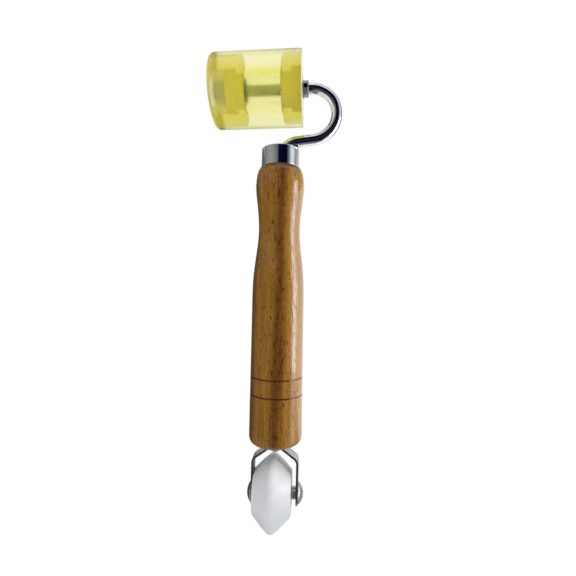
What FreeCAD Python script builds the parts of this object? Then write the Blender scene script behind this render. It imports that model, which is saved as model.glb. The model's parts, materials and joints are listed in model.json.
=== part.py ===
import FreeCAD, Part
import math
import os

# Double-ended seam roller: a wide elastomer roller on a bent rod at one end of a turned wooden
# handle, and a V-edged wheel in a steel fork at the other. Millimetres.
# Frame: the tool lies flat. +Y runs along the handle towards the wide roller, +X across the tool
# towards the hook, +Z away from the surface it lies on. The origin is on the handle's axis at its
# waist, the narrow place where a rack clip grips it.

# handle, by its distance along +Y from the waist
butt_y = -121.0
butt_corner = 5.5
butt_dome = 0.9
butt_seat_r = 4.2
barrel_r = 14.9
barrel_front_r = 14.5
barrel_front_y = -40.0
neck_outline = [(14.2, -28.5), (13.05, -17.1), (11.95, -8.2), (11.52, 0.0), (12.3, 11.2),
                (13.2, 18.6), (13.55, 23.2), (13.25, 28.4)]
shoulder_r = 12.0
shoulder_y = 33.0
handle_front_y = 34.2
tenon_r = 9.7
tenon_end_y = 38.4
ring_groove_y = [-82.4, -92.1]
ring_groove_r = 0.5
ring_r = 14.72

# ferrule
ferrule_r = 10.65
ferrule_wall = 0.9
ferrule_back_y = 34.5
ferrule_front_y = 45.1

# hooked rod, quarter-inch stock
rod_r = 3.175
rod_fit = 0.03
tang_y = -20.0
neck_bend_r = 10.5
hook_centre = (16.47, 64.78)
hook_bend_r = 14.33
hook_rise = 7.0
hook_twist = 2.5
axle_tilt = 1.0

# wide roller, by its distance along the axle from the handle's axis
roller_r = 20.0
roller_length = 50.0
roller_hook_s = 11.75
roller_free_s = roller_hook_s - roller_length
tyre_bore_r = 7.3
hub_r = 12.2
hub_gap = 0.02
hub_inset = 0.2
free_hub_length = 18.5
hook_hub_length = 11.8
hub_bore_r = 6.0

# 696 ball bearings: 6 bore, 15 outside, 5 wide
bearing_r = 7.5
bearing_bore_r = 3.0
bearing_width = 5.0
free_bearing_s = -27.9
hook_bearing_s = 8.25
ball_r = 1.36
ball_circle_r = 5.25
ball_count = 7
race_groove_r = 1.42
inner_ring_r = 4.15
outer_ring_bore_r = 6.35
seal_seat_r = 6.8
seal_inner_r = 4.22
seal_thickness = 0.3
seal_inset = 0.3
cage_inner_r = 4.4
cage_outer_r = 6.1
cage_half_width = 1.7
ball_pocket_r = 1.46

# what holds the roller on its axle
journal_r = 2.99
axle_shoulder_s = roller_hook_s - 0.6
axle_end_s = -38.0
thread_start_s = -31.6
thread_pitch = 1.0
thread_depth = 0.3
washer_r = 4.5
hook_washer = 0.4
free_washer = 0.8
collar_r = 4.4
collar_length = 3.8
set_screw_r = 1.2
set_screw_s = 13.3
nut_flats = 10.0
nut_height = 6.0
nut_bore_r = 3.02
insert_r = 4.3
insert_height = 1.8

# seam wheel
wheel_y = -148.6
wheel_r = 21.0
wheel_side_r = 12.5
wheel_width = 21.3
wheel_shift = -1.15
wheel_ridge = 2.0
wheel_bore_r = 3.56
sleeve_r = 3.5
sleeve_bore_r = 2.56

# fork
fork_twist = 2.0
fork_shift = 0.3
fork_half = 13.2
fork_plate = 1.2
fork_crown_half = 3.8
fork_slope = 36.0
fork_crown_width = 8.0
fork_eye_half = 5.0
fork_taper_y = -132.0
fork_tip_y = wheel_y - 6.9
fork_shoulder_bend = 3.5
fork_crown_bend = 1.5

# fasteners at the fork
barrel_r_outer = 2.5
barrel_bore_r = 2.02
barrel_bore_depth = 15.0
axle_screw_r = 2.0
axle_screw_length = 13.0
truss_head_r = 5.65
truss_barrel_height = 2.5
truss_screw_height = 2.9
truss_rim = 0.5
wood_screw_r = 1.75
wood_screw_length = 21.0
wood_screw_head_r = 2.7
wood_screw_head_height = 2.1
wood_screw_pitch = 1.5
wood_screw_thread = 0.4

# the fork's crown sits on the top of the butt's low dome
seat_y = butt_y - butt_dome

X_AXIS = FreeCAD.Vector(1, 0, 0)
Y_AXIS = FreeCAD.Vector(0, 1, 0)
Z_AXIS = FreeCAD.Vector(0, 0, 1)
ORIGIN = FreeCAD.Vector(0, 0, 0)

tilt = math.radians(axle_tilt)
hook_end = (hook_centre[0] - hook_bend_r * math.sin(tilt), hook_centre[1] + hook_bend_r * math.cos(tilt))
roller_y = hook_end[1] - hook_end[0] * math.tan(tilt)


def along_x(radius, along):
    return FreeCAD.Vector(along, radius, 0)


def along_y(radius, along):
    return FreeCAD.Vector(radius, along, 0)


def rounded_wire(corners, place):
    """Closed wire through (u, v, corner radius) corners, each corner rounded by a tangent arc."""
    edges = []
    ends = []
    for index, (u, v, radius) in enumerate(corners):
        here = place(u, v)
        before = place(*corners[index - 1][:2]) - here
        after = place(*corners[(index + 1) % len(corners)][:2]) - here
        before.normalize()
        after.normalize()
        if radius == 0:
            ends.append((here, here))
            continue
        half_angle = before.getAngle(after) / 2
        reach = radius / math.tan(half_angle)
        bisector = before + after
        bisector.normalize()
        start = here + before * reach
        end = here + after * reach
        middle = here + bisector * (radius / math.sin(half_angle) - radius)
        edges.append(Part.Arc(start, middle, end).toShape())
        ends.append((start, end))
    for index, (start, end) in enumerate(ends):
        edges.append(Part.LineSegment(ends[index - 1][1], start).toShape())
    return Part.Wire(Part.__sortEdges__(edges))


def turned(corners, axis):
    """Solid of revolution from (radius, distance along the axis, corner radius) corners."""
    place = along_x if axis == X_AXIS else along_y
    face = Part.Face(rounded_wire(corners, place))
    return face.revolve(ORIGIN, axis, 360)


def tube(inner_r, outer_r, start, end, corner=0.0, axis=X_AXIS):
    corners = [(inner_r, start, 0), (outer_r, start, corner), (outer_r, end, corner), (inner_r, end, 0)]
    return turned(corners, axis)


def rod(radius, start, end, axis=X_AXIS):
    return Part.makeCylinder(radius, end - start, axis * start, axis)


def threaded(radius, depth, pitch, start, end, axis):
    """Rod with thread-shaped rings from start to end, chamfered at the end."""
    step = math.copysign(pitch, end - start)
    turns = int(abs(end - start) / pitch)
    corners = [(0, start, 0), (radius - depth, start, 0)]
    for turn in range(turns):
        corners.append((radius, start + (turn + 0.5) * step, 0))
        corners.append((radius - depth, start + (turn + 1) * step, 0))
    corners.append((radius - 2 * depth, end, 0))
    corners.append((0, end, 0))
    return turned(corners, axis)


def on_hook(shape):
    """Turns a shape made in the plane z = 0 with the slightly twisted hook."""
    placed = shape.copy()
    placed.rotate(ORIGIN, Y_AXIS, -hook_twist)
    return placed


def on_roller_axle(shape):
    """Moves a shape made along the X axis onto the tilted axle of the wide roller."""
    placed = shape.copy()
    placed.rotate(ORIGIN, Z_AXIS, axle_tilt)
    placed.translate(FreeCAD.Vector(0, roller_y, 0))
    return on_hook(placed)


def on_fork(shape):
    """Turns a shape made square to the handle with the slightly twisted fork."""
    placed = shape.copy()
    placed.rotate(ORIGIN, Y_AXIS, -fork_twist)
    return placed


def on_wheel_axle(shape):
    placed = shape.copy()
    placed.translate(FreeCAD.Vector(fork_shift, wheel_y, 0))
    return on_fork(placed)


def handle_outline():
    """Half outline of the turned handle, from its butt to the end of its tenon."""
    barrel_back = FreeCAD.Vector(barrel_r, butt_y + butt_corner, 0)
    corner_centre = FreeCAD.Vector(barrel_r - butt_corner, butt_y + butt_corner, 0)
    diagonal = butt_corner * math.sqrt(0.5)
    seat_rim = FreeCAD.Vector(butt_seat_r, seat_y, 0)
    butt = Part.BSplineCurve()
    butt.interpolate(Points=[seat_rim, FreeCAD.Vector(barrel_r - butt_corner, butt_y, 0),
                             corner_centre + FreeCAD.Vector(diagonal, -diagonal, 0), barrel_back],
                     InitialTangent=X_AXIS, FinalTangent=Y_AXIS)
    barrel_front = FreeCAD.Vector(barrel_front_r, barrel_front_y, 0)
    shoulder = FreeCAD.Vector(shoulder_r, shoulder_y, 0)
    neck = Part.BSplineCurve()
    neck_points = [barrel_front] + [FreeCAD.Vector(r, y, 0) for r, y in neck_outline] + [shoulder]
    neck.interpolate(Points=neck_points, InitialTangent=barrel_front - barrel_back,
                     FinalTangent=FreeCAD.Vector(-0.5, 1, 0))
    front_r = shoulder_r - 0.8
    front = [shoulder,
             FreeCAD.Vector(front_r, handle_front_y, 0), FreeCAD.Vector(tenon_r, handle_front_y, 0),
             FreeCAD.Vector(tenon_r, tenon_end_y - 0.5, 0), FreeCAD.Vector(tenon_r - 0.5, tenon_end_y, 0),
             FreeCAD.Vector(0, tenon_end_y, 0), FreeCAD.Vector(0, seat_y, 0), seat_rim]
    edges = [butt.toShape(), Part.LineSegment(barrel_back, barrel_front).toShape(), neck.toShape()]
    for start, end in zip(front, front[1:]):
        edges.append(Part.LineSegment(start, end).toShape())
    return Part.Wire(Part.__sortEdges__(edges))


def handle_grip():
    solid = Part.Face(handle_outline()).revolve(ORIGIN, Y_AXIS, 360)
    for y in ring_groove_y:
        solid = solid.cut(Part.makeTorus(ring_r, ring_groove_r, FreeCAD.Vector(0, y, 0), Y_AXIS))
    tang_hole = rod(rod_r + rod_fit, tang_y - 1.0, tenon_end_y + 1.0, Y_AXIS)
    pilot_depth = wood_screw_length - fork_plate + 1.0
    pilot_hole = rod(wood_screw_r + rod_fit, seat_y - 1.0, seat_y + pilot_depth, Y_AXIS)
    return solid.cut(tang_hole).cut(pilot_hole)


def ferrule():
    inner_r = ferrule_r - ferrule_wall
    return turned([(inner_r, ferrule_back_y, 0), (ferrule_r, ferrule_back_y, 0.25),
                   (ferrule_r, ferrule_front_y, 0.6), (inner_r, ferrule_front_y, 0.25)], Y_AXIS)


def rod_path():
    """Centre line of the rod: tang, neck bend, short run, hook, straight axle to its shoulder."""
    rise = math.radians(hook_rise)
    run_end = (hook_centre[0] + hook_bend_r * math.sin(rise), hook_centre[1] - hook_bend_r * math.cos(rise))
    bend_exit_x = neck_bend_r * (1 - math.sin(rise))
    bend_exit_y = run_end[1] - (run_end[0] - bend_exit_x) * math.tan(rise)
    bend_y = bend_exit_y - neck_bend_r * math.cos(rise)
    bend_centre = FreeCAD.Vector(neck_bend_r, bend_y, 0)
    half_turn = (math.pi / 2 - rise) / 2
    bend_middle = bend_centre + FreeCAD.Vector(-math.cos(half_turn), math.sin(half_turn), 0) * neck_bend_r
    hook_middle = FreeCAD.Vector(hook_centre[0] + hook_bend_r, hook_centre[1], 0)
    points = {
        "tang": FreeCAD.Vector(0, tang_y + 1.0, 0),
        "bend": FreeCAD.Vector(0, bend_y, 0),
        "run": FreeCAD.Vector(bend_exit_x, bend_exit_y, 0),
        "hook": FreeCAD.Vector(run_end[0], run_end[1], 0),
        "axle": FreeCAD.Vector(hook_end[0], hook_end[1], 0),
        "shoulder": FreeCAD.Vector(axle_shoulder_s * math.cos(tilt),
                                   roller_y + axle_shoulder_s * math.sin(tilt), 0),
    }
    return Part.Wire([
        Part.LineSegment(points["tang"], points["bend"]).toShape(),
        Part.Arc(points["bend"], bend_middle, points["run"]).toShape(),
        Part.LineSegment(points["run"], points["hook"]).toShape(),
        Part.Arc(points["hook"], hook_middle, points["axle"]).toShape(),
        Part.LineSegment(points["axle"], points["shoulder"]).toShape(),
    ])


def hook_rod():
    section = Part.Wire(Part.makeCircle(rod_r, FreeCAD.Vector(0, tang_y + 1.0, 0), Y_AXIS))
    bar = rod_path().makePipeShell([section], True, False)
    tang_tip = turned([(0, tang_y, 0), (rod_r - 0.8, tang_y, 0), (rod_r, tang_y + 1.0, 0),
                       (0, tang_y + 1.0, 0)], Y_AXIS)
    journal = rod(journal_r, thread_start_s, axle_shoulder_s)
    thread = threaded(journal_r, thread_depth, thread_pitch, thread_start_s, axle_end_s, X_AXIS)
    return on_hook(bar).fuse([tang_tip, on_roller_axle(journal), on_roller_axle(thread)]).removeSplitter()


def stop_collar():
    start = axle_shoulder_s + 0.05
    body = tube(rod_r + rod_fit, collar_r, start, start + collar_length, 0.45)
    screw_hole = rod(set_screw_r + rod_fit, 0, collar_r + 1.0, Z_AXIS)
    screw_hole.translate(FreeCAD.Vector(set_screw_s, 0, 0))
    return on_roller_axle(body.cut(screw_hole))


def hexagon(flats, start, end, axis):
    """Hexagonal bar along an axis."""
    corner_r = flats / math.sqrt(3)
    corners = []
    for index in range(7):
        angle = math.radians(60 * index)
        corners.append(FreeCAD.Vector(math.cos(angle), math.sin(angle), 0) * corner_r)
    bar = Part.Face(Part.makePolygon(corners)).extrude(Z_AXIS * (end - start))
    bar.Placement = FreeCAD.Placement(axis * start, FreeCAD.Rotation(Z_AXIS, axis))
    return bar


def collar_set_screw():
    base = rod_r + 0.05
    body = rod(set_screw_r, base, collar_r - 0.15, Z_AXIS)
    socket = hexagon(1.3, collar_r - 0.85, collar_r, Z_AXIS)
    screw = body.cut(socket)
    screw.translate(FreeCAD.Vector(set_screw_s, 0, 0))
    return on_roller_axle(screw)


def hook_side_washer():
    start = axle_shoulder_s - hook_washer
    return on_roller_axle(tube(journal_r + rod_fit, washer_r, start, axle_shoulder_s, 0.08))


def free_washer_s():
    """Distance along the axle of the free side washer's outer face."""
    return free_bearing_s - bearing_width / 2 - free_washer


def free_side_washer():
    outer = free_washer_s()
    return on_roller_axle(tube(journal_r + rod_fit, washer_r, outer, outer + free_washer, 0.15))


def axle_lock_nut():
    start = free_washer_s() - nut_height
    end = start + nut_height
    bar = hexagon(nut_flats, start, end, X_AXIS)
    corner_r = nut_flats / math.sqrt(3)
    cone = turned([
        (0, start - 0.1, 0), (nut_flats / 2 - 0.4, start - 0.1, 0), (corner_r + 0.1, start + 1.3, 0),
        (corner_r + 0.1, end - 0.7, 0), (nut_flats / 2 - 0.1, end + 0.1, 0), (0, end + 0.1, 0)], X_AXIS)
    bore = rod(nut_bore_r, start - 1.0, end + 1.0)
    pocket = rod(insert_r + 0.02, start - 1.0, start + insert_height)
    return on_roller_axle(bar.common(cone).cut(bore).cut(pocket))


def lock_nut_insert():
    start = free_washer_s() - nut_height + 0.3
    return on_roller_axle(tube(nut_bore_r, insert_r, start, start + insert_height - 0.35, 0.2))


def roller_tyre():
    free_floor = roller_free_s + free_hub_length
    hook_floor = roller_hook_s - hook_hub_length
    seat_r = hub_r + hub_gap
    return on_roller_axle(turned([
        (roller_r, roller_free_s, 1.8), (roller_r, roller_hook_s, 0.5),
        (seat_r, roller_hook_s, 0), (seat_r, hook_floor, 0), (tyre_bore_r, hook_floor, 0),
        (tyre_bore_r, free_floor, 0), (seat_r, free_floor, 0), (seat_r, roller_free_s, 0)], X_AXIS))


def hub(outer_end, inner_end, bearing_s):
    """Bearing housing from the tyre's outer end to its floor, with a shoulder behind the bearing."""
    inward = math.copysign(1.0, inner_end - outer_end)
    shoulder = bearing_s + inward * bearing_width / 2
    mouth = outer_end + inward * hub_inset
    floor = inner_end - inward * hub_gap
    return on_roller_axle(turned([
        (hub_r, mouth, 0.4), (hub_r, floor, 1.2), (hub_bore_r, floor, 0.4), (hub_bore_r, shoulder, 0),
        (bearing_r, shoulder, 0), (bearing_r, mouth, 0.3)], X_AXIS))


def free_end_hub():
    return hub(roller_free_s, roller_free_s + free_hub_length, free_bearing_s)


def hook_end_hub():
    return hub(roller_hook_s, roller_hook_s - hook_hub_length, hook_bearing_s)


def race_groove(centre):
    return Part.makeTorus(ball_circle_r, race_groove_r, X_AXIS * centre, X_AXIS)


def bearing_outer_ring(centre):
    half = bearing_width / 2
    seat = half - seal_inset - seal_thickness
    outer_r = bearing_r - hub_gap
    body = turned([
        (outer_r, centre - half, 0.3), (outer_r, centre + half, 0.3),
        (seal_seat_r, centre + half, 0), (seal_seat_r, centre + seat, 0),
        (outer_ring_bore_r, centre + seat, 0), (outer_ring_bore_r, centre - seat, 0),
        (seal_seat_r, centre - seat, 0), (seal_seat_r, centre - half, 0)], X_AXIS)
    return on_roller_axle(body.cut(race_groove(centre)))


def bearing_inner_ring(centre):
    half = bearing_width / 2
    body = tube(bearing_bore_r + 0.01, inner_ring_r, centre - half, centre + half, 0.15)
    return on_roller_axle(body.cut(race_groove(centre)))


def bearing_seals(centre):
    """The two rubber seals of one bearing, as two separate solids."""
    near = bearing_width / 2 - seal_inset - seal_thickness
    far = bearing_width / 2 - seal_inset
    right = tube(seal_inner_r, seal_seat_r - 0.02, centre + near + 0.02, centre + far)
    left = tube(seal_inner_r, seal_seat_r - 0.02, centre - far, centre - near - 0.02)
    return on_roller_axle(Part.makeCompound([right, left]))


def ball_directions():
    for index in range(ball_count):
        angle = 2 * math.pi * index / ball_count
        yield FreeCAD.Vector(0, math.cos(angle), math.sin(angle))


def bearing_balls(centre):
    places = [X_AXIS * centre + outward * ball_circle_r for outward in ball_directions()]
    return on_roller_axle(Part.makeCompound([Part.makeSphere(ball_r, place) for place in places]))


def bearing_cage(centre):
    """Crown cage: a ring closed on its inner side, with a round radial pocket for each ball."""
    back = math.copysign(cage_half_width, -centre)
    start, end = sorted([centre - back * 0.5, centre + back])
    crown = tube(cage_inner_r, cage_outer_r, start, end, 0.1)
    for outward in ball_directions():
        pocket_start = X_AXIS * centre + outward * (cage_inner_r - 1.0)
        crown = crown.cut(Part.makeCylinder(ball_pocket_r, cage_outer_r, pocket_start, outward))
    return on_roller_axle(crown)


def v_wheel():
    left = wheel_shift - wheel_width / 2
    right = wheel_shift + wheel_width / 2
    ridge = wheel_ridge / 2
    solid = turned([
        (wheel_bore_r, left, 0.3), (wheel_side_r, left, 0.9),
        (wheel_r, wheel_shift - ridge, 0.9), (wheel_r, wheel_shift + ridge, 0.9),
        (wheel_side_r, right, 0.9), (wheel_bore_r, right, 0.3)], X_AXIS)
    return on_wheel_axle(solid)


def wheel_sleeve():
    reach = fork_half - fork_plate - 0.03
    return on_wheel_axle(tube(sleeve_bore_r, sleeve_r, -reach, reach, 0.2))


def fork_section(inset):
    """Closed outline of the bent strip's outer face, moved inwards by inset."""
    slope = math.radians(fork_slope)
    side = fork_half - inset
    top = seat_y - 0.02 - inset
    crown = fork_crown_half - inset * math.tan(slope / 2)
    knee = top - (side - crown) * math.tan(slope)
    foot = fork_tip_y - (1.0 if inset else 0.0)
    crown_bend = fork_crown_bend + (0.0 if inset else fork_plate)
    shoulder_bend = fork_shoulder_bend + (0.0 if inset else fork_plate)
    corners = [(-side, foot, 0), (side, foot, 0), (side, knee, shoulder_bend), (crown, top, crown_bend),
               (-crown, top, crown_bend), (-side, knee, shoulder_bend)]
    return Part.Face(rounded_wire(corners, lambda u, v: FreeCAD.Vector(u, v, -fork_eye_half)))


def fork():
    depth = Z_AXIS * (2 * fork_eye_half)
    strip = fork_section(0).extrude(depth).cut(fork_section(fork_plate).extrude(depth))
    neck = fork_crown_width / 2
    tip_corner = fork_eye_half - 0.01
    upper_side = [(fork_tip_y, fork_eye_half, tip_corner), (wheel_y + fork_eye_half * 0.6, fork_eye_half, 4.0),
                  (fork_taper_y, neck, 8.0), (butt_y, neck, 0)]
    side_view = upper_side + [(y, -z, corner_r) for y, z, corner_r in reversed(upper_side)]
    start = -fork_half - 1.0
    blank = Part.Face(rounded_wire(side_view, lambda y, z: FreeCAD.Vector(start, y, z)))
    strip = strip.common(blank.extrude(X_AXIS * (2 * fork_half + 2.0)))
    axle_hole = rod(barrel_r_outer + 0.05, -fork_half - 1.0, fork_half + 1.0)
    axle_hole.translate(FreeCAD.Vector(0, wheel_y, 0))
    strip = strip.cut(axle_hole)
    strip.translate(FreeCAD.Vector(fork_shift, 0, 0))
    screw_hole = rod(wood_screw_r + 0.1, seat_y - fork_plate - 1.0, butt_y + 1.0, Y_AXIS)
    return on_fork(strip.cut(screw_hole))


def truss_head(base, height, outward):
    """Low domed head standing on base, towards outward (+1 or -1)."""
    rim = base + outward * truss_rim
    top = base + outward * height
    rise = height - truss_rim
    sphere_r = (truss_head_r ** 2 + rise ** 2) / (2 * rise)
    full_angle = math.asin(truss_head_r / sphere_r)
    middle_r = sphere_r * math.sin(full_angle / 2)
    middle = top - outward * sphere_r * (1 - math.cos(full_angle / 2))
    dome = Part.Arc(along_x(truss_head_r, rim), along_x(middle_r, middle), along_x(0, top)).toShape()
    sides = Part.makePolygon([along_x(0, top), along_x(0, base), along_x(truss_head_r - 0.2, base),
                              along_x(truss_head_r, rim)])
    face = Part.Face(Part.Wire([dome] + sides.Edges))
    return face.revolve(ORIGIN, X_AXIS, 360)


def cross_recess(size, start, end, axis):
    """Cutter for a cross recess: two crossed bars that narrow a little towards the floor."""
    cutter = None
    for turn in (45, 135):
        bar = Part.makeBox(size, size * 0.24, abs(end - start), FreeCAD.Vector(-size / 2, -size * 0.12, 0))
        bar.rotate(ORIGIN, Z_AXIS, turn)
        cutter = bar if cutter is None else cutter.fuse(bar)
    outward = axis * math.copysign(1.0, end - start)
    place = FreeCAD.Placement(axis * start, FreeCAD.Rotation(Z_AXIS, outward))
    cutter.Placement = place.multiply(cutter.Placement)
    return cutter


def axle_barrel():
    """Binding barrel: domed head on the left, plain shank through sleeve and both arms."""
    head = truss_head(-fork_half - 0.02, truss_barrel_height, -1)
    shank = rod(barrel_r_outer, -fork_half - 0.05, fork_half - 0.4)
    bore = rod(barrel_bore_r, fork_half - 0.4 - barrel_bore_depth, fork_half + 1.0)
    return on_wheel_axle(head.fuse(shank).cut(bore).removeSplitter())


def axle_screw():
    """Domed screw on the right, threaded into the barrel."""
    base = fork_half + 0.02
    head = truss_head(base, truss_screw_height, 1)
    thread_start = fork_half - 1.5
    shank = rod(axle_screw_r, thread_start, base + 0.1)
    thread = threaded(axle_screw_r, 0.2, 0.7, thread_start, base - axle_screw_length, X_AXIS)
    recess = cross_recess(4.6, base + 1.4, base + truss_screw_height + 0.2, X_AXIS)
    return on_wheel_axle(head.fuse([shank, thread]).cut(recess).removeSplitter())


def fork_screw():
    """Pan-head wood screw through the fork's crown into the handle's butt."""
    seat = seat_y - 0.02 - fork_plate
    head_end = seat - wood_screw_head_height
    head = turned([(0, head_end, 0), (wood_screw_head_r, head_end, 1.1), (wood_screw_head_r, seat, 0.1),
                   (0, seat, 0)], Y_AXIS)
    shank = rod(wood_screw_r, seat - 0.1, seat_y + 2.0, Y_AXIS)
    tip_y = seat + wood_screw_length
    thread = threaded(wood_screw_r, wood_screw_thread, wood_screw_pitch, seat_y + 2.0, tip_y - 2.0, Y_AXIS)
    tip_r = wood_screw_r - 2 * wood_screw_thread
    tip = turned([(0, tip_y - 2.0, 0), (tip_r, tip_y - 2.0, 0), (0, tip_y, 0)], Y_AXIS)
    recess = cross_recess(3.6, head_end + 1.2, head_end - 0.2, Y_AXIS)
    return on_fork(head.fuse([shank, thread, tip]).cut(recess).removeSplitter())


def main():
    parts = {
        "handle_grip": handle_grip(),
        "ferrule": ferrule(),
        "hook_rod": hook_rod(),
        "stop_collar": stop_collar(),
        "collar_set_screw": collar_set_screw(),
        "hook_side_washer": hook_side_washer(),
        "free_side_washer": free_side_washer(),
        "axle_lock_nut": axle_lock_nut(),
        "lock_nut_insert": lock_nut_insert(),
        "roller_tyre": roller_tyre(),
        "free_end_hub": free_end_hub(),
        "hook_end_hub": hook_end_hub(),
        "v_wheel": v_wheel(),
        "wheel_sleeve": wheel_sleeve(),
        "fork": fork(),
        "fork_screw": fork_screw(),
        "axle_barrel": axle_barrel(),
        "axle_screw": axle_screw(),
    }
    for end, centre in (("free", free_bearing_s), ("hook", hook_bearing_s)):
        parts[end + "_bearing_outer_ring"] = bearing_outer_ring(centre)
        parts[end + "_bearing_inner_ring"] = bearing_inner_ring(centre)
        parts[end + "_bearing_seals"] = bearing_seals(centre)
        parts[end + "_bearing_balls"] = bearing_balls(centre)
        parts[end + "_bearing_cage"] = bearing_cage(centre)
    os.makedirs("parts", exist_ok=True)
    for name, shape in parts.items():
        shape.exportStep(os.path.join("parts", name + ".step"))
        print(f"{name}: {len(shape.Solids)} solid(s), {shape.Volume:.1f} mm3, valid {shape.isValid()}")
    print(f"roller axis crosses the handle's axis at y {roller_y:.3f}")


main()
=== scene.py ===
import json
import math

import bpy
from mathutils import Matrix, Vector


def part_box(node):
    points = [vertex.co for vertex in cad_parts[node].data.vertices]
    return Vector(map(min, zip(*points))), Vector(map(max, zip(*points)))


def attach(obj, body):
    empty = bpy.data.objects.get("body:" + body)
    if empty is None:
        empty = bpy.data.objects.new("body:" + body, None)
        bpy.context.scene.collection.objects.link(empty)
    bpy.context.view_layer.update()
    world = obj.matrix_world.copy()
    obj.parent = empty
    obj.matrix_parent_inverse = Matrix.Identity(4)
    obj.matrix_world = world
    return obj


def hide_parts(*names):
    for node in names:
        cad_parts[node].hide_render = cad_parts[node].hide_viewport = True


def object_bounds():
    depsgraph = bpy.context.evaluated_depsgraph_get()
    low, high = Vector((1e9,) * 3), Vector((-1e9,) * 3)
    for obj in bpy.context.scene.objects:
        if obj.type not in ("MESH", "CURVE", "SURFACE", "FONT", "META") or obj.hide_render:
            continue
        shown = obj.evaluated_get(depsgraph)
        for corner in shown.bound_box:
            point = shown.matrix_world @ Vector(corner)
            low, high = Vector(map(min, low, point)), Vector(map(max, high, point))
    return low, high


# Double-ended seam roller, seen from above while it lies flat. Metres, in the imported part's frame:
# +Y runs along the handle towards the wide roller, +X across the tool towards the hook, +Z up.

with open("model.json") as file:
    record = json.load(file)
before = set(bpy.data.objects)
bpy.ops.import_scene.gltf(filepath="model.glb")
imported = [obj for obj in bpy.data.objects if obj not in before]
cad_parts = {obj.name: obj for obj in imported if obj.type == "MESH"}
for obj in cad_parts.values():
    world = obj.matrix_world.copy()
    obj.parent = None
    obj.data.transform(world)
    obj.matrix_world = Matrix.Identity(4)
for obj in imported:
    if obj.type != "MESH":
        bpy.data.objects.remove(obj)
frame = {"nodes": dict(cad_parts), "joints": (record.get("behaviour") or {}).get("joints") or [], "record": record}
cad_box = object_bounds()

MM = 0.001
joints = {joint["name"]: joint for joint in frame["joints"]}


def joint_line(name):
    """A joint's place and its axis, as vectors."""
    return Vector(joints[name]["pos_m"]), Vector(joints[name]["axis"]).normalized()


def axle_frame(name):
    """Matrix whose local X runs along the joint's axis, with the origin where that axis is nearest x = 0."""
    place, axis = joint_line(name)
    origin = place - axis * (place.x / axis.x)
    up = Vector((0, 0, 1))
    across = up.cross(axis).normalized()
    up = axis.cross(across)
    turn = Matrix((axis, across, up)).transposed().to_4x4()
    return Matrix.Translation(origin) @ turn


roller_frame = axle_frame("roller_spin")
wheel_frame = axle_frame("wheel_spin")


def reach(node, place):
    """The least and most that a node's mesh reaches along place's local X, and out from it."""
    back = place.inverted()
    points = [back @ vertex.co for vertex in frame["nodes"][node].data.vertices]
    along = [point.x for point in points]
    out = [math.hypot(point.y, point.z) for point in points]
    return min(along), max(along), min(out), max(out)


# ---------------------------------------------------------------- shader nodes

class Tree:
    """Adds nodes to one node tree. An input is a value or another node's output."""

    def __init__(self, tree):
        self.tree = tree

    def add(self, kind, inputs=(), **settings):
        node = self.tree.nodes.new(kind)
        for name, value in settings.items():
            setattr(node, name, value)
        for name, value in dict(inputs).items():
            if isinstance(value, bpy.types.NodeSocket):
                self.link(value, node.inputs[name])
            else:
                node.inputs[name].default_value = value
        return node

    def link(self, output, socket):
        self.tree.links.new(output, socket)

    def maths(self, operation, first, second=0.0):
        return self.add("ShaderNodeMath", {0: first, 1: second}, operation=operation).outputs[0]

    def plus(self, first, second):
        return self.maths("ADD", first, second)

    def times(self, first, second):
        return self.maths("MULTIPLY", first, second)

    def most(self, first, second):
        return self.maths("MAXIMUM", first, second)

    def vector_maths(self, operation, inputs):
        return self.add("ShaderNodeVectorMath", inputs, operation=operation)

    def ramp(self, value, stops):
        """Colour ramp; stops are (place, colour) pairs, and a colour may be one number."""
        node = self.add("ShaderNodeValToRGB", {"Fac": value})
        ramp = node.color_ramp
        while len(ramp.elements) < len(stops):
            ramp.elements.new(0.5)
        for element, (place, colour) in zip(ramp.elements, stops):
            shade = (colour,) * 3 if isinstance(colour, (int, float)) else colour
            element.position = place
            element.color = (*shade, 1.0)
        return node.outputs["Color"]

    def range(self, value, low, high, to_low=0.0, to_high=1.0, smooth=True):
        """Maps low..high to to_low..to_high, level beyond them, with an S curve between them if smooth."""
        node = self.add("ShaderNodeMapRange", {"Value": value, "From Min": low, "From Max": high,
                                               "To Min": to_low, "To Max": to_high},
                        interpolation_type="SMOOTHSTEP" if smooth else "LINEAR")
        return node.outputs["Result"]

    def mix(self, factor, first, second):
        """Blend of two colours."""
        node = self.add("ShaderNodeMix", data_type="RGBA")
        for index, value in ((0, factor), (6, first), (7, second)):
            if isinstance(value, bpy.types.NodeSocket):
                self.link(value, node.inputs[index])
            elif index == 0:
                node.inputs[index].default_value = value
            else:
                node.inputs[index].default_value = (*value, 1.0)
        return node.outputs[2]

    def coordinates(self):
        """The piece's own coordinates in metres."""
        return self.add("ShaderNodeTexCoord").outputs["Object"]

    def noise(self, per_metre, detail=3.0, roughness=0.5, distortion=0.0):
        """Noise with per_metre features a metre: along X, Y and Z, or the same along all three."""
        scale = per_metre if isinstance(per_metre, tuple) else (per_metre,) * 3
        vector = self.vector_maths("MULTIPLY", {0: self.coordinates(), 1: scale}).outputs[0]
        node = self.add("ShaderNodeTexNoise", {"Vector": vector, "Scale": 1.0, "Detail": detail,
                                               "Roughness": roughness, "Distortion": distortion})
        return node.outputs["Fac"]

    def bump(self, height, strength, distance):
        node = self.add("ShaderNodeBump", {"Height": height, "Strength": strength, "Distance": distance})
        return node.outputs["Normal"]


def new_material(name):
    """A material and the parts of its tree that are filled in next: (material, tree, shader)."""
    material = bpy.data.materials.new(name)
    material.use_nodes = True
    material.node_tree.nodes.clear()
    tree = Tree(material.node_tree)
    shader = tree.add("ShaderNodeBsdfPrincipled")
    output = tree.add("ShaderNodeOutputMaterial")
    tree.link(shader.outputs[0], output.inputs["Surface"])
    return material, tree, shader


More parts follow.
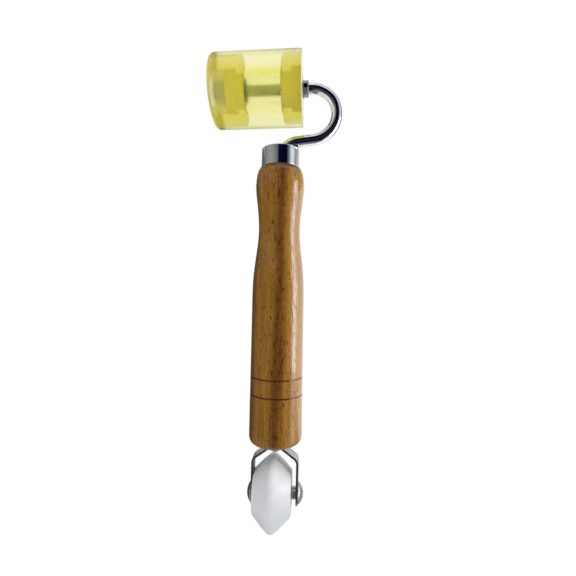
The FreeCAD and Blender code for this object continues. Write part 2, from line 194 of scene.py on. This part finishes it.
def fill(tree, shader, inputs):
    """Sets a shader's inputs, each to a value or another node's output."""
    for name, value in inputs.items():
        if isinstance(value, bpy.types.NodeSocket):
            tree.link(value, shader.inputs[name])
        else:
            shader.inputs[name].default_value = value


def tint_by_depth(tree, colour, density):
    """Makes the solid filter light towards colour, by how far the light goes through it."""
    depth = tree.add("ShaderNodeVolumeAbsorption", {"Color": (*colour, 1.0), "Density": density})
    tree.link(depth.outputs[0], tree.tree.nodes["Material Output"].inputs["Volume"])


# ---------------------------------------------------------------- materials

HANDLE_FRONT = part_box("handle_grip")[1].y - 4.2 * MM
RING_GROOVES = (-82.4 * MM, -92.1 * MM)


def lacquered_beech():
    """Turned beech under gloss lacquer: long streaks, short dark flecks and two burnt rings, with painted light
    and shade: a reddish-brown band along the top as a painted dark reflection, painted light on the right, and
    painted shade on the left edge and at the front end under the ferrule."""
    pale = (0.405, 0.195, 0.026)
    deep = (0.252, 0.108, 0.014)
    # painted dark reflection colour for the band along the top
    painted_dark_reflection = (0.140, 0.045, 0.012)
    # painted light for the right side
    painted_light_right = (0.52, 0.255, 0.030)
    # painted shade for the left edge
    painted_shade_left = (0.120, 0.038, 0.018)
    small_fleck = (0.085, 0.024, 0.007)
    large_fleck = (0.070, 0.020, 0.006)
    # burnt grooves, and painted shade at the front end under the ferrule
    burnt_and_shade_colour = (0.090, 0.018, 0.005)
    material, tree, shader = new_material("lacquered_beech")
    x, y, z = tree.add("ShaderNodeSeparateXYZ", {"Vector": tree.coordinates()}).outputs
    # growth rings: planes of the board, bent a little
    bend = tree.noise((45, 8, 45), detail=2.0)
    sheet = tree.plus(tree.times(x, 900.0), tree.times(z, 300.0))
    rings = tree.maths("SINE", tree.plus(sheet, tree.times(bend, 26.0)))
    rings = tree.range(rings, -1.0, 1.0)
    streaks = tree.noise((1100, 26, 1100), detail=5.0, roughness=0.65)
    streaks = tree.range(streaks, 0.34, 0.66)
    broad = tree.noise((110, 12, 110))
    large_flecks = tree.noise((820, 200, 820), detail=2.0)
    small_flecks = tree.noise((2300, 480, 2300), detail=1.0)
    # painted dark reflection: a reddish-brown band along the top, a little right of the axis, stands in for the
    # dark ceiling mirrored in the lacquer, with denser flecks in it
    wander = tree.times(tree.maths("SUBTRACT", broad, 0.5), 9 * MM)
    across = tree.maths("SUBTRACT", tree.plus(x, wander), 0.8 * MM)
    dark_reflection_band = tree.range(tree.maths("ABSOLUTE", across), 0.4 * MM, 4.6 * MM, 1.0, 0.0)
    dark_reflection_band = tree.times(dark_reflection_band, tree.range(z, 0.0, 8 * MM))
    dense = tree.times(dark_reflection_band, 0.06)
    large_flecks = tree.range(tree.plus(large_flecks, dense), 0.60, 0.70)
    small_flecks = tree.range(tree.plus(small_flecks, dense), 0.575, 0.685)
    # painted light: the right side is paler, as if lit from the right
    painted_light_right_mask = tree.range(tree.plus(x, wander), 1.5 * MM, 10.0 * MM)
    # painted shade: the left edge is darker, as if in shade
    painted_shade_left_mask = tree.range(x, -13.5 * MM, -9.5 * MM, 1.0, 0.0)
    # the burnt grooves, and painted shade at the front end where it meets the ferrule
    burn_and_gap_shade = tree.range(y, HANDLE_FRONT - 2.2 * MM, HANDLE_FRONT - 1.5 * MM)
    for centre in RING_GROOVES:
        away = tree.maths("ABSOLUTE", tree.maths("SUBTRACT", y, centre))
        burn_and_gap_shade = tree.most(burn_and_gap_shade, tree.range(away, 0.22 * MM, 0.62 * MM, 1.0, 0.0))
    colour = tree.mix(streaks, deep, pale)
    # the wood's own colours, with the painted light, shade and dark reflection mixed in
    for mask, share, layer in (
            (painted_light_right_mask, 0.6, painted_light_right), (painted_shade_left_mask, 0.7, painted_shade_left), (rings, 0.30, deep), (dark_reflection_band, 0.78, painted_dark_reflection),
            (small_flecks, 0.50, small_fleck), (large_flecks, 0.74, large_fleck), (burn_and_gap_shade, 0.9, burnt_and_shade_colour)):
        colour = tree.mix(tree.times(mask, share), colour, layer)
    relief = tree.plus(tree.times(streaks, 0.5), tree.times(large_flecks, -0.8))
    ripple = tree.noise((520, 170, 520), roughness=0.6)
    patches = tree.noise((90, 30, 90))
    coat_relief = tree.plus(ripple, tree.times(relief, 0.35))
    fill(tree, shader, {
        "Base Color": colour,
        "Roughness": tree.range(patches, 0.3, 0.7, 0.42, 0.54),
        "Specular IOR Level": 0.0,
        "Coat Weight": 1.0,
        "Coat Roughness": 0.04,
        "Coat IOR": 1.65,
        "Normal": tree.bump(relief, 0.35, 0.06 * MM),
        "Coat Normal": tree.bump(coat_relief, 1.0, 0.16 * MM),
    })
    return material


def plated(name, colour, roughness, wear=0.04):
    """Plated steel with a faintly cloudy colour, and fine rub marks that add up to wear to its roughness."""
    material, tree, shader = new_material(name)
    cloud = tree.noise(160)
    marks = tree.noise((700, 2600, 2600), detail=5.0, roughness=0.65)
    dull = tuple(channel * 0.88 for channel in colour)
    fill(tree, shader, {
        "Base Color": tree.mix(tree.range(cloud, 0.35, 0.65), colour, dull),
        "Metallic": 1.0,
        "Roughness": tree.range(marks, 0.35, 0.72, roughness, roughness + wear),
        "Normal": tree.bump(marks, 0.05, 0.01 * MM),
    })
    return material


def moulded(name, colour, shade, roughness):
    """Plain moulded plastic or rubber with a faint mottle and a slightly uneven surface."""
    material, tree, shader = new_material(name)
    mottle = tree.noise(260, detail=4.0)
    grain = tree.noise(2200, detail=2.0)
    fill(tree, shader, {
        "Base Color": tree.mix(tree.range(mottle, 0.3, 0.7), colour, shade),
        "Roughness": tree.range(mottle, 0.3, 0.7, roughness, roughness + 0.1),
        "Normal": tree.bump(grain, 0.06, 0.02 * MM),
    })
    return material


def white_acetal():
    """Smooth white plastic, a little wavy from its mould."""
    material, tree, shader = new_material("white_acetal")
    mottle = tree.noise(200, detail=4.0)
    waves = tree.noise(95, detail=1.0, distortion=1.2)
    grain = tree.noise(1500)
    relief = tree.plus(waves, tree.times(grain, 0.02))
    fill(tree, shader, {
        "Base Color": tree.mix(tree.range(mottle, 0.3, 0.7), (0.80, 0.815, 0.83), (0.775, 0.79, 0.805)),
        "Roughness": tree.range(mottle, 0.3, 0.7, 0.30, 0.36),
        "Subsurface Weight": 0.6,
        "Subsurface Radius": (1.0, 1.0, 1.0),
        "Subsurface Scale": 4 * MM,
        "Normal": tree.bump(relief, 0.5, 0.30 * MM),
    })
    return material


def about_axle(tree, place):
    """How far along place's local X a point is, and how far out from it."""
    origin = tuple(place.translation)
    axis = tuple(place.col[0].to_3d())
    arm = tree.vector_maths("SUBTRACT", {0: tree.coordinates(), 1: origin}).outputs[0]
    along = tree.vector_maths("DOT_PRODUCT", {0: arm, 1: axis}).outputs["Value"]
    shift = tree.vector_maths("SCALE", {0: axis, "Scale": along}).outputs[0]
    rest = tree.vector_maths("SUBTRACT", {0: arm, 1: shift}).outputs[0]
    out = tree.vector_maths("LENGTH", {0: rest}).outputs["Value"]
    return along, out


def clear_polyurethane():
    """Cast polyurethane, straw yellow by depth: satin outside, with cloudier ends and a turned bore; the free
    end's rounded rim has a painted orange glow.
    """
    plain = (1.0, 1.0, 1.0)
    hook_face = (1.0, 0.99, 0.90)
    free_face = (1.0, 0.90, 0.32)
    rim_painted_glow_colour = (1.0, 0.86, 0.26)
    material, tree, shader = new_material("clear_polyurethane")
    start, end, _, radius = reach("roller_tyre", roller_frame)
    along, out = about_axle(tree, roller_frame)
    scuffs = tree.noise((900, 300, 900), detail=5.0, roughness=0.6)
    free_end = tree.range(along, start + 0.02 * MM, start + 0.10 * MM, 1.0, 0.0)
    hook_end = tree.range(along, end - 0.10 * MM, end - 0.02 * MM)
    inside = tree.range(out, 7.9 * MM, 8.1 * MM, 1.0, 0.0)
    # rounded rim of the free end: rougher and cloudier, and painted orange for the glow of light running a long
    # way through the yellow solid
    rim = tree.range(along, start + 1.6 * MM, start + 1.9 * MM, 1.0, 0.0)
    rim = tree.times(rim, tree.range(out, radius - 2.6 * MM, radius - 1.9 * MM))
    pockets = tree.most(tree.range(along, end - 9.0 * MM, end - 7.0 * MM),
                        tree.range(along, start + 17.0 * MM, start + 19.0 * MM, 1.0, 0.0))
    roughness = tree.range(scuffs, 0.4, 0.75, 0.14, 0.19)
    turned = tree.most(tree.most(free_end, hook_end), inside)
    for mask, more in ((turned, 0.16), (tree.times(pockets, inside), 0.30), (rim, 0.25)):
        roughness = tree.plus(roughness, tree.times(mask, more))
    colour = tree.mix(hook_end, plain, hook_face)
    colour = tree.mix(free_end, colour, free_face)
    milky = tree.most(tree.times(free_end, 0.5), tree.times(hook_end, 0.9))
    milky = tree.most(milky, tree.times(rim, 0.45))
    fill(tree, shader, {
        "Base Color": tree.mix(rim, colour, rim_painted_glow_colour),
        "Roughness": roughness,
        "IOR": 1.5,
        "Transmission Weight": tree.maths("SUBTRACT", 1.0, milky),
    })
    tint_by_depth(tree, (0.927, 0.900, 0.317), 30.0)
    return material


def amber_polyurethane(name, skin, lining, density):
    """Deeper yellow polyurethane cast inside the clear tyre. skin and lining are how much its outside and its
    bore hide; the bore is clear round the nut."""
    material, tree, shader = new_material(name)
    cloud = tree.range(tree.noise(120), 0.3, 0.7)
    along, out = about_axle(tree, roller_frame)
    nut_end = reach("free_bearing_outer_ring", roller_frame)[0]
    lined = tree.times(tree.range(along, nut_end - 0.5 * MM, nut_end + 0.5 * MM),
                       tree.range(out, 8.0 * MM, 8.2 * MM, lining, 0.0))
    fill(tree, shader, {
        "Base Color": tree.mix(cloud, (1.0, 0.94, 0.30), (1.0, 0.92, 0.26)),
        "Roughness": tree.range(cloud, 0.0, 1.0, 0.55, 0.65),
        "Specular IOR Level": 0.0,
        "Alpha": tree.most(lined, tree.range(out, 8.2 * MM, 9.6 * MM, 0.0, skin)),
    })
    tint_by_depth(tree, (0.999, 0.978, 0.02), density)
    return material


beech = lacquered_beech()
chrome = plated("chrome_plate", (0.80, 0.81, 0.84), 0.035)
nickel = plated("nickel_plate", (0.55, 0.55, 0.54), 0.20, 0.12)
black_oxide = plated("black_oxide", (0.012, 0.012, 0.014), 0.45, 0.1)
zinc = plated("zinc_plate", (0.58, 0.58, 0.56), 0.28, 0.12)
nut_nylon = moulded("nut_nylon", (0.80, 0.82, 0.84), (0.72, 0.75, 0.78), 0.4)
bearing_steel = plated("bearing_steel", (0.93, 0.93, 0.91), 0.30, 0.1)
pressed_steel = plated("pressed_steel", (0.50, 0.50, 0.50), 0.3, 0.12)
seal_rubber = moulded("seal_rubber", (0.016, 0.016, 0.018), (0.028, 0.028, 0.030), 0.55)
fork_steel = plated("fork_steel", (0.50, 0.52, 0.55), 0.26, 0.12)
acetal = white_acetal()
clear_pu = clear_polyurethane()
amber_pu = amber_polyurethane("amber_polyurethane", skin=0.30, lining=1.0, density=64.0)
amber_wall = amber_polyurethane("amber_polyurethane_wall", skin=0.0, lining=0.0, density=14.0)
# bare steel, its olive-yellow a painted reflection of the yellow polyurethane round it
steel_painted_yellow_reflection = plated("steel_painted_yellow_reflection", (0.47, 0.49, 0.19), 0.30, 0.12)
# a lighter copy of the zinc: painted light on the fork screw, which sits in shade under the handle's end
zinc_painted_light = plated("zinc_plate_painted_light", (0.86, 0.86, 0.84), 0.42, 0.12)
dull_nickel = plated("nickel_plate_dull", (0.36, 0.37, 0.38), 0.36, 0.12)

by_slot = {
    "lacquered_beech": beech, "chrome_plate": chrome, "nickel_plate": nickel, "black_oxide": black_oxide,
    "zinc_plate": zinc, "nut_nylon": nut_nylon, "clear_polyurethane": clear_pu,
    "amber_polyurethane": amber_pu, "bearing_steel": bearing_steel, "pressed_steel": pressed_steel,
    "seal_rubber": seal_rubber, "fork_steel": fork_steel, "white_acetal": acetal,
}
# the fork screw takes the lighter zinc copy, painted light for a screw in shade
by_node = {"stop_collar": dull_nickel, "fork_screw": zinc_painted_light}


def dress_cad_nodes():
    """Gives every CAD node its own material, or else its slot's."""
    for part in frame["record"]["subparts"]:
        mesh = frame["nodes"][part["node"]].data
        mesh.materials.clear()
        mesh.materials.append(by_node.get(part["node"], by_slot[part["material_slot"]]))


dress_cad_nodes()

# ---------------------------------------------------------------- meshes

def corner(before, at, after, radius, steps=6):
    """Points of a rounded corner at at, between the straight runs to before and after."""
    at = Vector(at)
    to_before = (Vector(before) - at).normalized()
    to_after = (Vector(after) - at).normalized()
    half = to_before.angle(to_after) / 2
    cut = radius / math.tan(half)
    centre = at + (to_before + to_after).normalized() * (radius / math.sin(half))
    start = at + to_before * cut - centre
    end = at + to_after * cut - centre
    turn = start.angle(end)
    points = []
    for step in range(steps + 1):
        share = step / steps
        arc = (start * math.sin((1 - share) * turn) + end * math.sin(share * turn)) / math.sin(turn)
        points.append(tuple(centre + arc))
    return points


def lathe(name, outline, place, materials, segments=256, extra=()):
    """Closed turned solid. outline is a closed list of (along, out, corner radius, material), in metres, and
    place carries its local X onto the axis of turning. extra holds outlines of further shells."""
    vertices = []
    faces = []
    slots = []
    for shell in (outline, *extra):
        ring = []
        for index, (along, out, radius, slot) in enumerate(shell):
            before = shell[index - 1][:2]
            after = shell[(index + 1) % len(shell)][:2]
            ring += corner(before, (along, out), after, radius) if radius else [(along, out)]
        rows = len(ring)
        base = len(vertices)
        for turn in range(segments):
            angle = 2 * math.pi * turn / segments
            for along, out in ring:
                vertices.append(place @ Vector((along, out * math.sin(angle), out * math.cos(angle))))
        for turn in range(segments):
            first = base + turn * rows
            second = base + (turn + 1) % segments * rows
            for row in range(rows):
                following = (row + 1) % rows
                faces.append((first + row, first + following, second + following, second + row))
                slots.append(shell[0][3])
    return new_piece(name, vertices, faces, materials, slots, 35.0)


def sweep(name, stations, up, materials, bare_from, segments=96):
    """Round bar through (centre, direction, radius) stations in one plane, whose normal is up. It has the
    second material from station bare_from on."""
    vertices = []
    for centre, direction, radius in stations:
        side = direction.cross(up).normalized()
        for turn in range(segments):
            angle = 2 * math.pi * turn / segments
            vertices.append(centre + (side * math.cos(angle) + up * math.sin(angle)) * radius)
    faces = [tuple(range(segments))]
    for row in range(len(stations) - 1):
        first = row * segments
        second = first + segments
        for turn in range(segments):
            following = (turn + 1) % segments
            faces.append((first + turn, second + turn, second + following, first + following))
    faces.append(tuple(reversed(range((len(stations) - 1) * segments, len(stations) * segments))))
    plated_faces = 1 + bare_from * segments
    slots = [int(index >= plated_faces) for index in range(len(faces))]
    return new_piece(name, vertices, faces, materials, slots, 20.0)


def new_piece(name, vertices, faces, materials, slots, limit):
    """Object from a mesh; slots has each face's material, and edges sharper than limit degrees stay sharp."""
    mesh = bpy.data.meshes.new(name)
    mesh.from_pydata(vertices, [], faces)
    for material in materials:
        mesh.materials.append(material)
    mesh.polygons.foreach_set("material_index", slots)
    mesh.update()
    piece = bpy.data.objects.new(name, mesh)
    bpy.context.scene.collection.objects.link(piece)
    shade(mesh, limit)
    return piece


def shade(mesh, limit):
    """Smooth shading, with edges sharper than limit degrees kept sharp."""
    mesh.shade_smooth()
    normals = {}
    for face in mesh.polygons:
        for key in face.edge_keys:
            normals.setdefault(key, []).append(face.normal)
    sharp = mesh.attributes.new("sharp_edge", "BOOLEAN", "EDGE")
    for edge in mesh.edges:
        pair = normals.get(tuple(sorted(edge.vertices)), [])
        sharp.data[edge.index].value = len(pair) == 2 and pair[0].angle(pair[1], 0.0) > math.radians(limit)


def wide_roller():
    """The tyre and its hubs as one clear solid, and the hubs' amber bodies and wall cast into it."""
    start, end, bore, radius = reach("roller_tyre", roller_frame)
    free_hub = reach("free_end_hub", roller_frame)
    hook_hub = reach("hook_end_hub", roller_frame)
    free_bearing = reach("free_bearing_outer_ring", roller_frame)
    hook_bearing = reach("hook_bearing_outer_ring", roller_frame)
    pocket = free_bearing[3] + 0.02 * MM
    hub_bore = free_hub[2]
    tyre = lathe("clear_roller", [
        (start, pocket, 0, 0), (start, radius, 1.8 * MM, 0), (end, radius, 0.5 * MM, 0),
        (end, pocket, 0.3 * MM, 0), (hook_bearing[0], pocket, 0, 0), (hook_bearing[0], hub_bore, 0.3 * MM, 0),
        (hook_hub[0], hub_bore, 0.3 * MM, 0), (hook_hub[0], bore, 0, 0), (free_hub[1], bore, 0, 0),
        (free_hub[1], hub_bore, 0.3 * MM, 0), (free_bearing[1], hub_bore, 0.3 * MM, 0),
        (free_bearing[1], pocket, 0, 0),
    ], roller_frame, [clear_pu])
    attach(tyre, "wide_roller")
    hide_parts("roller_tyre")
    skin = 0.2 * MM
    outer = free_hub[3] - 0.02 * MM
    wall_in = bore + 0.05 * MM
    wall_out = bore + 0.65 * MM
    wall = [(hook_hub[0], wall_in, 0, 1), (hook_hub[0], wall_out, 0, 1),
            (free_hub[1], wall_out, 0, 1), (free_hub[1], wall_in, 0, 1)]
    for name, node, mouth, seat, inner_end, extra in (
            ("free_hub_body", "free_end_hub", free_hub[0], free_bearing[1], free_hub[1], [wall]),
            ("hook_hub_body", "hook_end_hub", hook_hub[1], hook_bearing[0], hook_hub[0], [])):
        inwards = math.copysign(1.0, inner_end - mouth)
        outline = [
            (mouth + inwards * skin, pocket + skin, 0, 0),
            (mouth + inwards * skin, outer, 0.8 * MM, 0),
            (inner_end - inwards * skin, outer, 2.0 * MM, 0),
            (inner_end - inwards * skin, hub_bore + skin, 0, 0),
            (seat + inwards * skin, hub_bore + skin, 0, 0),
            (seat + inwards * skin, pocket + skin, 0, 0),
        ]
        if inwards < 0:
            outline.reverse()
        body = lathe(name, outline, roller_frame, [amber_pu, amber_wall], extra=extra)
        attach(body, "wide_roller")
        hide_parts(node)


wide_roller()


def seam_wheel():
    """The V-edged wheel, with its ridge and rims rounded as a moulding's are."""
    left, right, bore, radius = reach("v_wheel", wheel_frame)
    middle = (left + right) / 2
    side = 12.5 * MM
    crest = radius - 0.05 * MM
    half = (right - left) / 2
    # a cone that swells a little, rounded over the ridge and at the rim
    blunt = 1.5 * MM
    rim = half - 0.5 * MM
    slope = (crest - side) / (math.hypot(rim, blunt) - blunt)
    cone = []
    for step in range(31):
        along = rim * (step / 30) ** 1.5
        fall = slope * (math.hypot(along, blunt) - blunt)
        cone.append((along, crest - fall + 0.3 * MM * math.sin(along / rim * math.pi)))
    cone += [(half - 0.12 * MM, side - 0.35 * MM), (half, side - 0.9 * MM)]
    left_cone = [(middle - along, out, 0, 0) for along, out in reversed(cone)]
    right_cone = [(middle + along, out, 0, 0) for along, out in cone[1:]]
    wheel = lathe("moulded_wheel", [(left, bore, 0.3 * MM, 0)] + left_cone + right_cone
                  + [(right, bore, 0.3 * MM, 0)], wheel_frame, [acetal], segments=320)
    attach(wheel, "seam_wheel")
    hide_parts("v_wheel")


seam_wheel()


def hooked_rod():
    """The rod, finely divided so that its long reflections stay smooth: tang, neck bend, run, hook, axle."""
    radius = 3.175 * MM
    journal = 2.99 * MM
    thread_start = -31.6 * MM
    thread_depth = 0.3 * MM
    pitch = 1.0 * MM
    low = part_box("hook_rod")[0]
    neck_r = 10.5 * MM
    neck_steps = 48
    hook_r = 14.33 * MM
    hook_middle = Vector((16.47 * MM, 64.78 * MM, 0))
    hook_steps = 144
    rise = math.radians(7.0)
    axle = joint_line("roller_spin")[1]
    twist = Matrix.Rotation(-math.atan2(axle.z, axle.x), 3, "Y")
    run_end = hook_middle + Vector((math.sin(rise), -math.cos(rise), 0)) * hook_r
    run_start_x = neck_r * (1 - math.sin(rise))
    run_start = Vector((run_start_x, run_end.y - (run_end.x - run_start_x) * math.tan(rise), 0))
    neck_middle = Vector((neck_r, run_start.y - neck_r * math.cos(rise), 0))
    straight_up = Vector((0, 1, 0))
    stations = []
    for y, share in ((low.y, 0.70), (low.y + 0.5 * MM, 0.92), (low.y + 1.0 * MM, 1.0), (-0.01, 1.0)):
        stations.append((Vector((0, y, 0)), straight_up, radius * share))
    for step in range(neck_steps + 1):
        angle = math.pi - (math.pi / 2 - rise) * step / neck_steps
        out = Vector((math.cos(angle), math.sin(angle), 0))
        stations.append((neck_middle + out * neck_r, Vector((out.y, -out.x, 0)), radius))
    first = rise - math.pi / 2
    last = math.pi / 2 + math.asin(axle.y)
    for step in range(hook_steps + 1):
        angle = first + (last - first) * step / hook_steps
        out = Vector((math.cos(angle), math.sin(angle), 0))
        stations.append((hook_middle + out * hook_r, Vector((-out.y, out.x, 0)), radius))
    stations = [(twist @ centre, twist @ direction, size) for centre, direction, size in stations]
    # the axle runs back through the roller: shoulder, journal, then the threaded end
    end = reach("hook_rod", roller_frame)[0]
    origin = roller_frame.translation
    shoulder = reach("hook_side_washer", roller_frame)[1]
    profile = [(shoulder, radius), (shoulder, journal), (thread_start, journal)]
    root = journal - thread_depth
    along = thread_start
    while along - pitch > end + 0.4 * MM:
        profile += [(along, root), (along - pitch / 2, journal)]
        along -= pitch
    profile += [(along, root), (end, root - thread_depth)]
    bare_from = len(stations)
    for along, size in profile:
        stations.append((origin + axle * along, -axle, size))
    rod = sweep("bright_rod", stations, twist @ Vector((0, 0, 1)), [chrome, steel_painted_yellow_reflection], bare_from)
    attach(rod, "handle_assembly")
    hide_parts("hook_rod")


hooked_rod()

# ---------------------------------------------------------------- surroundings

def floor():
    """Plain white table, far larger than the view, that gives off light itself instead of being lit. Shiny pieces
    see dark and light cards painted into its glow.
    """
    low = cad_box[0]
    half_size = 3.0
    mesh = bpy.data.meshes.new("table")
    corners = [(x * half_size, y * half_size, low.z) for x, y in ((-1, -1), (1, -1), (1, 1), (-1, 1))]
    mesh.from_pydata(corners, [], [(0, 1, 2, 3)])
    table = bpy.data.objects.new("table", mesh)
    bpy.context.scene.collection.objects.link(table)
    material = bpy.data.materials.new("white_table")
    material.use_nodes = True
    material.node_tree.nodes.clear()
    tree = Tree(material.node_tree)
    x, y, _ = tree.add("ShaderNodeSeparateXYZ", {"Vector": tree.coordinates()}).outputs
    share = tree.range(x, -0.5, 0.5, smooth=False)

    def at(metres):
        return metres + 0.5

    by_chrome = tree.ramp(share, [
        (at(-0.5), 0.33), (at(-0.085), 0.19), (at(-0.036), 0.11), (at(-0.012), 0.16), (at(0.002), 0.6),
        (at(0.012), 1.0), (at(0.022), 1.0), (at(0.04), 0.55), (at(0.11), 0.3), (at(0.3), 0.5),
        (at(0.5), 0.8)])
    by_wood = tree.ramp(share, [
        (at(-0.5), 0.20), (at(-0.03), 0.05), (at(0.010), 0.10), (at(0.017), 1.0), (at(0.06), 1.7),
        (at(0.2), 2.2), (at(0.5), 2.2)])
    by_fork = tree.ramp(share, [
        (at(-0.024), 0.02), (at(-0.020), 0.55), (at(-0.011), 0.55), (at(-0.006), 1.2), (at(0.006), 1.2),
        (at(0.013), 0.75), (at(0.030), 0.9), (at(0.045), 1.7), (at(0.2), 2.2), (at(0.5), 2.2)])
    by_wheel = tree.ramp(share, [
        (at(-0.10), 0.10), (at(-0.03), 0.05), (at(0.0), 0.3), (at(0.013), 0.7), (at(0.030), 0.65),
        (at(0.06), 0.3), (at(0.2), 0.4), (at(0.5), 1.0)])
    shiny = tree.mix(tree.range(y, 0.030, 0.036), by_wood, by_chrome)
    by_roller = tree.times(tree.range(y, 0.057, 0.061), tree.range(x, 0.004, 0.010, 1.0, 0.0))
    by_roller = tree.times(by_roller, tree.range(x, -0.072, -0.064))
    shiny = tree.mix(by_roller, shiny, (0.60, 0.60, 0.55))
    shiny = tree.mix(tree.range(y, -0.118, -0.112), by_fork, shiny)
    shiny = tree.mix(tree.range(y, -0.136, -0.130), by_wheel, shiny)
    matt = tree.ramp(share, [
        (at(-0.4), 0.30), (at(-0.05), 0.08), (at(-0.015), 0.08), (at(0.03), 0.90), (at(0.4), 0.90)])
    matt_ends = tree.ramp(share, [(at(-0.4), 1.0), (at(-0.03), 1.0), (at(0.03), 0.85), (at(0.4), 0.80)])
    matt = tree.mix(tree.range(y, -0.128, -0.116), matt_ends, matt)
    matt = tree.mix(tree.range(y, 0.030, 0.040), matt, matt_ends)
    colour = studio_light(tree, shiny, matt)
    glow = tree.add("ShaderNodeEmission", {"Color": colour, "Strength": 1.0})
    output = tree.add("ShaderNodeOutputMaterial")
    tree.link(glow.outputs[0], output.inputs["Surface"])
    mesh.materials.append(material)


def studio_light(tree, shiny, matt):
    """White for the camera and through clear pieces, shiny in reflections, matt as soft light."""
    path = tree.add("ShaderNodeLightPath")
    light = tree.mix(path.outputs["Is Glossy Ray"], matt, shiny)
    seen = tree.most(path.outputs["Is Camera Ray"], path.outputs["Is Transmission Ray"])
    return tree.mix(seen, light, (1.0, 1.0, 1.0))


def side_lamp():
    """Long strip lamp low on the right, beside the handle only: the highlight along the lacquer."""
    radiance = 6.2
    data = bpy.data.lights.new("side_lamp", "AREA")
    data.shape = "RECTANGLE"
    data.size = 0.08
    data.size_y = 0.258
    data.energy = radiance * data.size * data.size_y * math.pi
    lamp = bpy.data.objects.new("side_lamp", data)
    bpy.context.scene.collection.objects.link(lamp)
    facing_left = Matrix(((0, 0, 1), (0, 1, 0), (-1, 0, 0)))
    lamp.matrix_world = Matrix.Translation((0.29, -0.011, 0.042)) @ facing_left.to_4x4()


def surroundings():
    """Soft studio: bright to the right, grey to the left, and a dark ceiling that only reflections see."""
    world = bpy.data.worlds.new("studio")
    world.use_nodes = True
    bpy.context.scene.world = world
    world.node_tree.nodes.clear()
    tree = Tree(world.node_tree)
    direction = tree.add("ShaderNodeTexCoord").outputs["Generated"]
    x, y, z = tree.add("ShaderNodeSeparateXYZ", {"Vector": direction}).outputs
    sideways = tree.maths("ARCTAN2", x, z)
    share = tree.range(sideways, -math.pi, math.pi, smooth=False)

    def at(degrees):
        return (degrees + 180) / 360

    navy = (0.0010, 0.0015, 0.017)
    across = tree.ramp(share, [
        (at(-120), 0.20), (at(-87), 0.33), (at(-57), (0.36, 0.36, 0.33)), (at(-40), 0.28), (at(-22), 0.20),
        (at(-8), navy), (at(40), navy), (at(55), (0.22, 0.24, 0.28)), (at(66), (0.66, 0.72, 0.82)),
        (at(78), 1.0), (at(90), (0.60, 0.65, 0.74))])
    # beside the handle the cards are darker on the left and brighter on the right
    beside = tree.times(tree.range(y, 0.22, 0.28, 1.0, 0.0), tree.range(y, -0.40, -0.36))
    darker = tree.times(beside, tree.range(sideways, 1.05, 1.2, 0.8, 0.0))
    brighter = tree.times(beside, tree.range(sideways, 1.2, 1.4))
    across = tree.mix(darker, across, (0.02, 0.02, 0.03))
    across = tree.mix(brighter, across, (2.4, 2.3, 2.1))
    far_end = tree.range(y, 0.74, 0.88)
    near_end = tree.range(y, -0.88, -0.74, 1.0, 0.0)
    shiny = tree.mix(far_end, across, (0.9, 0.92, 0.96))
    shiny = tree.mix(near_end, shiny, (0.22, 0.23, 0.25))
    matt = tree.ramp(tree.range(x, -1.0, 1.0, smooth=False), [
        (0.0, 0.06), (0.14, (0.40, 0.41, 0.41)), (0.30, (1.22, 1.23, 1.24)), (0.5, (0.98, 0.99, 1.00)),
        (0.75, (0.50, 0.50, 0.51)), (1.0, 0.20)])
    glow = tree.add("ShaderNodeBackground", {"Color": studio_light(tree, shiny, matt), "Strength": 1.0})
    output = tree.add("ShaderNodeOutputWorld")
    tree.link(glow.outputs[0], output.inputs["Surface"])


floor()
surroundings()
side_lamp()

# ---------------------------------------------------------------- camera

camera_distance = 0.2190
camera_shift = 0.005525
look_at_y = -0.033
camera_roll = 0.01995
camera_yaw = 0.0375
camera_pitch = -0.0048

camera_data = bpy.data.cameras.new("camera")
camera_data.sensor_width = 36.0
camera_data.lens = 24.166
camera_data.clip_start = 0.01
camera_data.clip_end = 20.0
camera = bpy.data.objects.new("camera", camera_data)
bpy.context.scene.collection.objects.link(camera)
bpy.context.scene.camera = camera
tilt = (Matrix.Rotation(-camera_pitch, 4, "X") @ Matrix.Rotation(-camera_yaw, 4, "Y")
        @ Matrix.Rotation(-camera_roll, 4, "Z"))
camera.matrix_world = (Matrix.Translation((0, look_at_y, 0)) @ tilt.inverted()
                       @ Matrix.Translation((camera_shift, 0, camera_distance)))

bpy.context.scene.view_settings.view_transform = "Standard"
